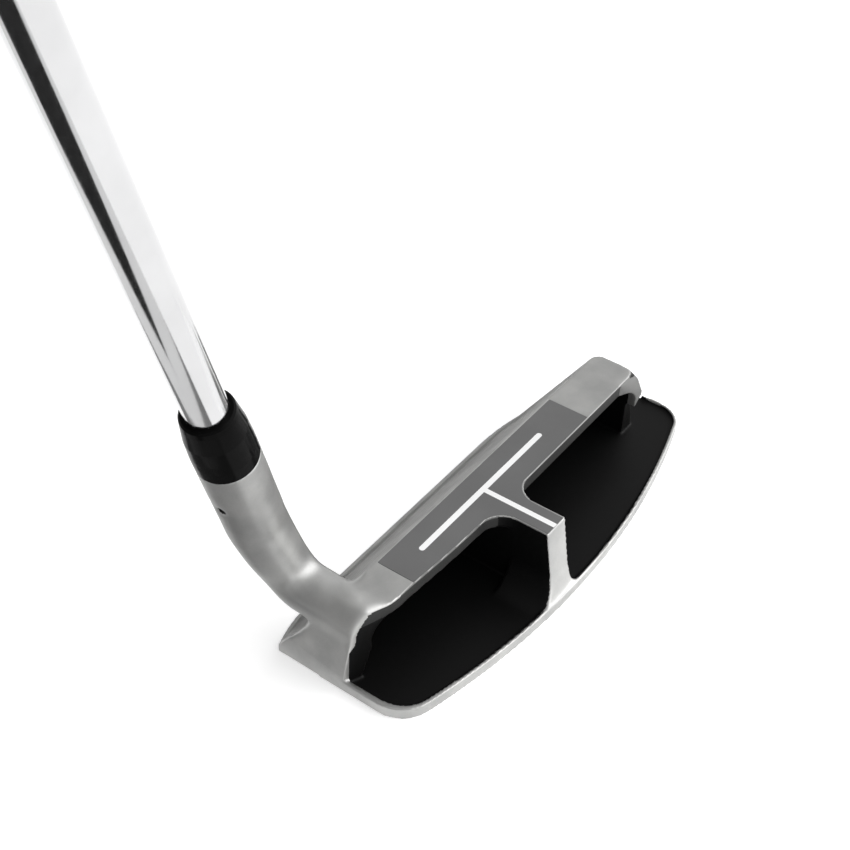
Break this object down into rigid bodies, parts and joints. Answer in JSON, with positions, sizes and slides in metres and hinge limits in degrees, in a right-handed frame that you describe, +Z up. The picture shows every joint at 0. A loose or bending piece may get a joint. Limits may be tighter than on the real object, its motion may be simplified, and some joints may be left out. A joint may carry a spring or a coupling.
{
  "type": "mallet putter",
  "caption": "Right-handed heel-shafted mallet putter: lofted-face cast head with two rear cavities, curved neck, ferrule, stepped steel shaft and pistol grip.",
  "frame": {"origin": "on the flat sole, straight below the middle of the sight line's bar", "axes": "+X from heel to toe, +Y towards the target, +Z up from the ground"},
  "size_m": [0.3923, 0.0616, 0.8247],
  "materials": {
    "cast_head": "satin, bead blasted, black enamel in the cavities",
    "dark_panel": "matte charcoal enamel fill",
    "white_line": "white enamel fill",
    "ferrule_black": "polished black",
    "chrome_shaft": "bright chrome plate",
    "steel_pin": "dark oxide",
    "adhesive": "cured epoxy",
    "plug": "cork",
    "tape": "crepe paper tape",
    "grip_rubber": "textured"
  },
  "bodies": {
    "root": {"head": "cast_head", "top_panel": "dark_panel", "sight_line": "white_line", "ferrule": "ferrule_black", "shaft": "chrome_shaft", "cross_pin": "steel_pin", "shaft_adhesive": "adhesive", "tip_plug": "plug", "grip_tape": "tape", "grip": "grip_rubber", "grip_cap": "grip_rubber"}
  },
  "joints": []
}
